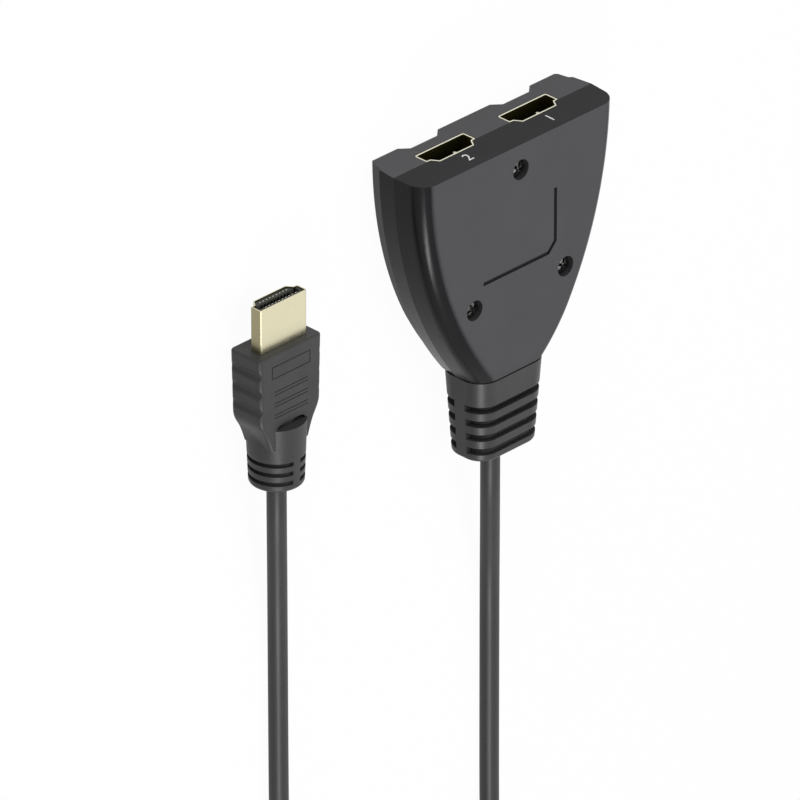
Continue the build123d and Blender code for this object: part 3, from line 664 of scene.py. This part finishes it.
class SWITCH_OT_plug(bpy.types.Operator):
    """Plug on the far end of the cable"""

    bl_idname = "switch.plug"
    bl_label = "Plug"

    def execute(self, context):
        rubber = soft_rubber("plug_rubber", colours().rubber, roughness=0.42)
        # Painted shade: the grip's slots get a dark colour.
        slot = dark_plastic_and_painted_shade("plug_slot_rubber", colours().recess, roughness=0.7)
        # side=0.43 paints the nose's sides darker: painted shade.
        gilt = plated_metal("plug_plating", colours().gilt, roughness=0.33, side=0.43)
        # Painted shade: the nose's inside gets a dark olive colour.
        painted_shade_inside = plated_metal("plug_lining", (0.12, 0.105, 0.06), roughness=0.45)
        insulator = dark_plastic_and_painted_shade("plug_insulator", (0.055, 0.055, 0.048), roughness=0.5)
        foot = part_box("plug_body")[0].y / MM
        keep("plug_grip", softened("plug_body", sizes().rubber_edge), [rubber, slot],
             replaces=["plug_body"], zone=slot_shade_zone(foot + 1.2, foot + 7.6))
        low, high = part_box("plug_shell")
        keep("plug_nose", softened("plug_shell", sizes().sheet_edge), [gilt, painted_shade_inside],
             replaces=["plug_shell"], zone=self.nose_zone((low + high) / 2 / MM))
        dress("plug_core", insulator)
        dress("plug_contacts", plated_metal("contact_in_shade", (0.05, 0.045, 0.03), roughness=0.5))
        self.tips(plated_metal("contact_plating", (0.8, 0.78, 0.7), roughness=0.35), insulator)
        return {"FINISHED"}

    @staticmethod
    def nose_zone(middle):
        """Bright outside and on the near part of the rim; inside, a dark painted shade."""
        rim_from = middle.z - 1.2

        def zone(spot, normal):
            outward = (spot.x - middle.x) * normal.x + (spot.z - middle.z) * normal.z
            return int(outward <= 0 and not (normal.y > 0.5 and spot.z > rim_from))
        return zone

    def tips(self, plating, insulator):
        """Two rows of contact ends in the plug's mouth, the near one on a ledge over the slot."""
        low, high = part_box("plug_contacts")
        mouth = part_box("plug_core")[1].y
        middle = (low.x + high.x) / 2
        foot = 0.008
        size = (0.0128, 0.0004, 0.00086)
        rounding = 0.00006
        ledge_depth, end_depth = 0.00018, 0.00003
        pitch, end_size = 0.001, (0.00036, 0.0003, 0.00018)
        near_level, far_level = foot + 0.00027, low.z - 0.00045
        ledge = bmesh.new()
        bmesh.ops.create_cube(ledge, size=1)
        bmesh.ops.scale(ledge, verts=ledge.verts, vec=size)
        place = (middle, mouth - ledge_depth, foot + size[2] / 2)
        bmesh.ops.translate(ledge, verts=ledge.verts, vec=place)
        bmesh.ops.bevel(ledge, geom=ledge.edges[:], offset=rounding, segments=2, affect="EDGES")
        keep("plug_ledge", solid("plug_ledge", ledge), [insulator])
        for name, count, level in (("near", 10, near_level), ("far", 9, far_level)):
            row = contact_row(count, pitch, end_size, plating)
            mesh = row.made([(middle, mouth - end_depth, level)])
            keep(f"plug_tips_{name}", mesh, [plating])


def slot_shade_zone(start, end, is_hidden=None):
    """1, the dark painted shade, for the walls and floors of the slots between two places along Y,
    in millimetres, and for the faces that is_hidden picks.
    """
    def zone(spot, normal):
        slotted = start < spot.y < end and (abs(normal.y) > 0.9 or abs(normal.y) < 0.02)
        return int(slotted or bool(is_hidden and is_hidden(normal)))
    return zone


def contact_row(count, pitch, size, plating):
    """Small metal blocks side by side, in a row through each given point."""
    width, length, height = size
    row = Maker("contact_row", count=count, pitch=pitch, width=width, length=length, height=height,
                material=plating)
    start = row["pitch"] * (row["count"] - 1) * -0.5
    line = row.node("GeometryNodeMeshLine", {"mode": "OFFSET"}, {
        "Count": row["count"],
        "Start Location": row.vector(start, 0.0, 0.0),
        "Offset": row.vector(row["pitch"], 0.0, 0.0),
    })
    block = row.node("GeometryNodeMeshCube", inputs={
        "Size": row.vector(row["width"], row["length"], row["height"])})
    blocks = row.node("GeometryNodeInstanceOnPoints", inputs={"Points": line, "Instance": block})
    sockets = {"Points": row["Geometry"], "Instance": blocks}
    row.finish(row.node("GeometryNodeInstanceOnPoints", inputs=sockets))
    return row


class SWITCH_OT_cable(bpy.types.Operator):
    """Captive cable with its put-away coil and tie"""

    bl_idname = "switch.cable"
    bl_label = "Cable"

    def execute(self, context):
        radius = sizes().cable / 2
        facets_cut_in = 1.01
        points = self.route(radius)
        curve = bpy.data.curves.new("video_cable", "CURVE")
        curve.dimensions = "3D"
        spline = curve.splines.new("NURBS")
        spline.points.add(len(points) - 1)
        for point, place in zip(spline.points, points):
            point.co = (*(v * MM for v in place), 1)
        spline.order_u = 3
        spline.use_endpoint_u = True
        spline.resolution_u = 8
        curve.bevel_depth = radius * facets_cut_in
        curve.bevel_resolution = 8
        curve.use_fill_caps = True
        piece = bpy.data.objects.new("video_cable", curve)
        context.scene.collection.objects.link(piece)
        curve.materials.append(cable_jacket("cable_jacket", colours().jacket, roughness=0.44))
        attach(piece, BODY)
        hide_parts("cable_from_switch", "cable_coil", "cable_to_plug")
        tie = keep("tie_strap", softened("coil_tie", sizes().rubber_edge),
                   [soft_rubber("tie_rubber", (0.02, 0.02, 0.02), roughness=0.6)],
                   replaces=["coil_tie"])
        on_cable = [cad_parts[name] for name in ("plug_core", "plug_contacts")]
        on_cable += [tie, bpy.data.objects["plug_grip"], bpy.data.objects["plug_nose"]]
        points[0][0] * MM
        points[0][1] * MM
        points[0][2] * MM
        return {"FINISHED"}

    def route(self, radius):
        """Control points from the boot, round the coil and back to the plug, in millimetres."""
        lying = radius / MM + 0.05
        exit_y, exit_z = -38.4, 8.35
        low, high = 3.0, 8.2
        right, left, coil_y = 6.2, -43.8, -167.5
        entry = coil_y + 4.4
        plug_x, plug_end, plug_z = -64.1, -22.8, 6.7
        out = [
            (0, exit_y, exit_z),
            (0, exit_y - 9, exit_z),
            (3.15, exit_y - 24, 5.3),
            (6.25, exit_y - 41, lying),
            (6.3, exit_y - 65, lying),
            (6.35, exit_y - 84, lying),
            (6.3, exit_y - 98, 2.4),
            (right, entry + 7, low),
            (right, entry, low),
        ]
        back = [
            (left, entry, high),
            (left, entry + 10, high),
            (-46.0, entry + 24, 4.1),
            (-52.6, entry + 36, lying),
            (-59.45, entry + 48, lying),
            (-59.55, entry + 65, lying),
            (-59.6, plug_end - 42, lying),
            (-61.75, plug_end - 24, 4.4),
            (plug_x, plug_end - 9, plug_z),
            (plug_x, plug_end, plug_z),
        ]
        centre, across = (right + left) / 2, (right - left) / 2
        turns = self.half_turn(centre, coil_y, across, -1, low, low)
        turns += self.half_turn(centre, coil_y, -across, 1, low, high)
        turns += self.half_turn(centre, coil_y, across, -1, high, high)
        return out + turns + back

    def half_turn(self, centre_x, centre_y, across, bulge, start_z, end_z):
        """Control points of half a coil turn, outside its line by what the curve cuts off."""
        count = sizes().coil_points
        step = math.pi / count
        reach = abs(across) / ((1 + math.cos(step / 2)) / 2)
        points = []
        for i in range(count):
            turn = (i + 0.5) * step
            rise = (1 - math.cos(turn)) / 2
            points.append((centre_x + math.copysign(reach, across) * math.cos(turn),
                           centre_y + bulge * reach * math.sin(turn),
                           start_z + (end_z - start_z) * rise))
        return points


class SWITCH_OT_casing(bpy.types.Operator):
    """Both halves of the casing"""

    bl_idname = "switch.casing"
    bl_label = "Casing"

    def execute(self, context):
        moulded = part_polished_plastic("casing_moulding", colours().casing, colours().polish)
        # Painted shade: the recesses and the end at the boot get this dark colour.
        recess = dark_plastic_and_painted_shade("casing_recess", colours().recess, roughness=0.6)
        textured = textured_plastic("casing_texture", colours().casing, roughness=0.55)
        # The front half's side walls take the dark polish colour, partly painted shade.
        polished = polished_plastic("casing_polish", colours().polish, roughness=0.2)
        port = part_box("front_cover")[1].y / MM
        seam, face = (corner.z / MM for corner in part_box("back_cover"))
        step, near_step, past_middle = 3.9, 0.2, 0.012
        screws_reach, screws_low, screws_high, inside = 17, port - 38.5, port - 3, 13

        def back_zone(spot, normal):
            """1, the dark painted shade, for the screw holes, the groove and the end at the boot.
            """
            among_screws = abs(spot.x) < screws_reach and screws_low < spot.y < screws_high
            sunk = spot.z > inside and (normal.z < 0.5 or spot.z < face - 0.1)
            return int(among_screws and sunk or normal.y < -0.95)

        def front_zone(spot, normal):
            """1 for the side walls, which take the dark polish colour, partly painted shade."""
            return int(step + 0.05 < spot.z < seam and abs(normal.z) < 0.5 and normal.y < 0.8)

        def under_wall(spot):
            """Whether a point, in metres, is on the front wall's lower edge."""
            return abs(spot.z / MM - step) < near_step and abs(spot.x) > past_middle

        keep("casing_back", softened("back_cover", sizes().edge), [moulded, recess],
             replaces=["back_cover"], zone=back_zone)
        front = softened("front_cover", sizes().edge, sizes().wall_edge, under_wall)
        keep("casing_front", front, [textured, polished],
             replaces=["front_cover"], zone=front_zone)
        return {"FINISHED"}


class SWITCH_OT_boot(bpy.types.Operator):
    """Ribbed strain relief"""

    bl_idname = "switch.boot"
    bl_label = "Boot"

    def execute(self, context):
        rubber = soft_rubber("boot_rubber", colours().rubber, roughness=0.4)
        slot = dark_plastic_and_painted_shade("boot_slot_rubber", colours().recess, roughness=0.7)
        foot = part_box("cable_boot")[0].y / MM
        # The slots and the boot's top face, hidden against the casing, get the dark painted shade.
        zone = slot_shade_zone(foot + 1.0, foot + 15.5, lambda normal: normal.y > 0.95)
        keep("strain_relief", softened("cable_boot", sizes().rubber_edge), [rubber, slot],
             replaces=["cable_boot"], zone=zone)
        return {"FINISHED"}


class SWITCH_OT_sockets(bpy.types.Operator):
    """Two input sockets with their tongues, contacts and catches"""

    bl_idname = "switch.sockets"
    bl_label = "Sockets"

    def execute(self, context):
        gilt = plated_metal("socket_plating", (0.85, 0.82, 0.66), roughness=0.3)
        # Painted shade: inside, past the rim, the shells get a dark olive colour.
        painted_shade_inside = plated_metal("socket_lining", (0.075, 0.068, 0.02), roughness=0.5)
        black = dark_plastic_and_painted_shade("socket_moulding", (0.008, 0.008, 0.006), roughness=0.5)
        # Painted shade: the contacts deep in the mouth get a dark gold.
        contact = plated_metal("tongue_plating", (0.16, 0.12, 0.05), roughness=0.4)
        for number in (1, 2):
            low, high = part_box(f"socket_shell_{number}")
            rim = high.y / MM - 0.15
            keep(f"socket_rim_{number}", softened(f"socket_shell_{number}", sizes().sheet_edge),
                 [gilt, painted_shade_inside], replaces=[f"socket_shell_{number}"],
                 zone=lambda spot, normal: int(spot.y < rim))
            self.catch(number, (low.x + high.x) / 2, high.y, high.z, gilt)
            dress(f"socket_core_{number}", black)
            dress(f"socket_contacts_{number}", contact)
        return {"FINISHED"}

    def catch(self, number, x, port, top, gilt):
        """Small spring tooth in the middle of the shell's narrow wall, just inside the mouth."""
        wall, half, tip, drop, rounding = 0.0002, 0.0006, 0.00018, 0.0011, 0.00005
        front, back = port - 0.0001, port - 0.0009
        outline = [(x - half, top - wall), (x + half, top - wall), (x + tip, top - drop),
                   (x - tip, top - drop)]
        tooth = bmesh.new()
        rings = [[tooth.verts.new((a, y, b)) for a, b in outline] for y in (front, back)]
        tooth.faces.new(rings[0])
        tooth.faces.new(rings[1][::-1])
        for i in range(4):
            j = (i + 1) % 4
            tooth.faces.new((rings[0][i], rings[1][i], rings[1][j], rings[0][j]))
        bmesh.ops.bevel(tooth, geom=tooth.edges[:], offset=rounding, segments=2, affect="EDGES")
        bmesh.ops.recalc_face_normals(tooth, faces=tooth.faces)
        mesh = solid("catch", tooth)
        mesh.shade_smooth()
        keep(f"socket_catch_{number}", mesh, [gilt])


class SWITCH_OT_screws(bpy.types.Operator):
    """Three cross-head screws in their recesses"""

    bl_idname = "switch.screws"
    bl_label = "Screws"

    def execute(self, context):
        steel = blackened_steel("screw_steel", colours().steel, roughness=0.36)
        low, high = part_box("cover_screws")
        head = 0.0043
        radius = head / 2
        seat_depth = 0.0014
        seat = high.z - seat_depth
        spots = [(0, high.y - radius, seat)]
        spots += [(x, low.y + radius, seat) for x in (low.x + radius, high.x - radius)]
        keep("casing_screws", self.screw(head, steel).made(spots), [steel],
             replaces=["cover_screws"])
        return {"FINISHED"}

    def screw(self, head, steel):
        """Domed head with a sunk cross, and its ringed shank, on each given point."""
        screw = Maker("cross_head_screw", head=head, height=0.0015, dome=0.0007, cross=0.0028,
                      slot=0.0007, depth=0.0009, shank=0.0026, length=0.0094, ring=0.00055, seed=4,
                      material=steel)
        radius = screw["head"] * 0.5
        drum = screw.node("GeometryNodeMeshCylinder", {"fill_type": "TRIANGLE_FAN"}, {
            "Vertices": 48,
            "Side Segments": 1,
            "Fill Segments": 5,
            "Radius": radius,
            "Depth": screw["height"],
        })
        x, y, z = self.axes(screw)
        reach = (x * x + y * y) / (radius * radius)
        lift = screw.vector(0.0, 0.0, (1 - reach) * screw["dome"])
        sockets = {"Geometry": drum, "Selection": z > 0.0, "Offset": lift}
        domed = screw.node("GeometryNodeSetPosition", inputs=sockets)
        top = screw.vector(0.0, 0.0, screw["height"] * 0.5 + screw["dome"])
        deep = screw["depth"] * 2
        bars = ((screw["cross"], screw["slot"], deep), (screw["slot"], screw["cross"], deep))
        arms = []
        for bar in bars:
            cube = screw.node("GeometryNodeMeshCube", inputs={"Size": screw.vector(*bar)})
            arms.append(screw.moved(cube, top))
        sockets = {"Mesh 1": domed, "Mesh 2": arms}
        cut = screw.node("GeometryNodeMeshBoolean", {"operation": "DIFFERENCE"}, sockets)
        seated = screw.moved(cut, screw.vector(0.0, 0.0, screw["height"] * 0.5))
        sockets = {"Geometry": [seated, self.shank(screw)]}
        both = screw.node("GeometryNodeJoinGeometry", inputs=sockets)
        least_turn, most_turn = 0.2, 1.4
        sockets = {2: least_turn, 3: most_turn, "Seed": screw["seed"]}
        turn = screw.node("FunctionNodeRandomValue", {"data_type": "FLOAT"}, sockets, output=1)
        screw.finish(screw.node("GeometryNodeInstanceOnPoints", inputs={
            "Points": screw["Geometry"],
            "Instance": both,
            "Rotation": screw.vector(0.0, 0.0, turn),
        }))
        return screw

    def shank(self, screw):
        """Threaded shank: a cylinder whose radius swells and shrinks ring by ring."""
        rod = screw.node("GeometryNodeMeshCylinder", {"fill_type": "NGON"}, {
            "Vertices": 20,
            "Side Segments": 68,
            "Radius": screw["shank"] * 0.5,
            "Depth": screw["length"],
        })
        x, y, z = self.axes(screw)
        wave = (z / screw["ring"] * (2 * math.pi)).sine()
        half_depth = 0.09
        pinch = (wave - 1) * half_depth
        sockets = {"Geometry": rod, "Offset": screw.vector(x * pinch, y * pinch, 0.0)}
        threaded = screw.node("GeometryNodeSetPosition", inputs=sockets)
        return screw.moved(threaded, screw.vector(0.0, 0.0, screw["length"] * -0.5))

    def axes(self, net):
        """The three coordinates of the point that the tree is at."""
        return net.parts(net.node("GeometryNodeInputPosition"))


class SWITCH_OT_numbers(bpy.types.Operator):
    """A printed number beside each socket"""

    bl_idname = "switch.numbers"
    bl_label = "Numbers"

    def execute(self, context):
        ink = printed_ink("white_ink", colours().ink)
        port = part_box("front_cover")[1].y
        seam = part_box("back_cover")[0].z
        lean = math.radians(2)
        sine, cosine = math.sin(lean), math.cos(lean)
        turn = Matrix(((1, 0, 0), (0, sine, cosine), (0, -cosine, sine))).to_4x4()
        film = 0.00002
        digit_share_of_size = 0.69
        height = 0.0134
        for text, x in (("2", -0.0124), ("1", 0.0130)):
            curve = bpy.data.curves.new("digit", "FONT")
            curve.body = text
            curve.size = sizes().number_height / digit_share_of_size
            curve.align_x = "CENTER"
            curve.align_y = "CENTER"
            curve.extrude = film
            work = bpy.data.objects.new("digit", curve)
            context.scene.collection.objects.link(work)
            mesh = finished(work)
            turn.translation = (x, port - (height - seam) * math.tan(lean) + film, height)
            mesh.transform(turn)
            keep(f"socket_number_{text}", mesh, [ink])
        return {"FINISHED"}


class SWITCH_OT_button(bpy.types.Operator):
    """Select button, its push switch and the lights"""

    bl_idname = "switch.button"
    bl_label = "Button and lights"

    def execute(self, context):
        cap = polished_plastic("button_plastic", (0.03, 0.03, 0.032), roughness=0.3)
        keep("button_cap", softened("select_button", sizes().edge), [cap], body="button",
             replaces=["select_button"])
        dress("switch_plunger", cap)
        dress("light_guides", frosted_clear("light_guide", (0.7, 0.74, 0.7)))
        dress("indicator_leds", frosted_clear("light_chip", (0.8, 0.8, 0.6)))
        return {"FINISHED"}


class SWITCH_OT_inside(bpy.types.Operator):
    """Board, its parts and the cable's end inside the casing"""

    bl_idname = "switch.inside"
    bl_label = "Inside"

    def execute(self, context):
        steel = blackened_steel("tinned_steel", (0.5, 0.5, 0.5), roughness=0.35)
        black = textured_plastic("chip_moulding", (0.015, 0.015, 0.015), roughness=0.55)
        dress("circuit_board", solder_mask("board_lacquer", (0.01, 0.07, 0.03)))
        dress("switching_chip", black)
        dress("tact_switch", black)
        dress("board_parts", textured_plastic("ceramic", (0.3, 0.22, 0.14), roughness=0.4))
        dress("inner_cable", soft_rubber("inner_jacket", colours().jacket, roughness=0.5))
        dress("cable_wires", soft_rubber("wire_jacket", (0.6, 0.6, 0.57), roughness=0.5))
        for node in ("chip_leads", "crystal", "switch_dome", "cable_clamp"):
            dress(node, steel)
        return {"FINISHED"}


ORDER = ("stage", "plug", "cable", "casing", "boot", "sockets", "screws", "numbers", "button",
         "inside")


class SWITCH_PT_panel(bpy.types.Panel):
    """Lists the pieces of the switch"""

    bl_idname = "SWITCH_PT_panel"
    bl_label = "Video switch"
    bl_space_type = "VIEW_3D"
    bl_region_type = "UI"
    bl_category = "Switch"

    def draw(self, context):
        for group in (context.scene.switch_sizes, context.scene.switch_colours):
            for name in group.__annotations__:
                self.layout.prop(group, name)
        for name in ORDER:
            self.layout.operator("switch." + name)


CLASSES = (
    SwitchSizes,
    SwitchColours,
    SWITCH_OT_stage,
    SWITCH_OT_plug,
    SWITCH_OT_cable,
    SWITCH_OT_casing,
    SWITCH_OT_boot,
    SWITCH_OT_sockets,
    SWITCH_OT_screws,
    SWITCH_OT_numbers,
    SWITCH_OT_button,
    SWITCH_OT_inside,
    SWITCH_PT_panel,
)


def register():
    for item in CLASSES:
        bpy.utils.register_class(item)
    bpy.types.Scene.switch_sizes = PointerProperty(type=SwitchSizes)
    bpy.types.Scene.switch_colours = PointerProperty(type=SwitchColours)


def unregister():
    del bpy.types.Scene.switch_colours
    del bpy.types.Scene.switch_sizes
    for item in reversed(CLASSES):
        bpy.utils.unregister_class(item)


def main():
    """Makes every piece in order."""
    register()
    for name in ORDER:
        getattr(bpy.ops.switch, name)()


if __name__ == "__main__":
    main()
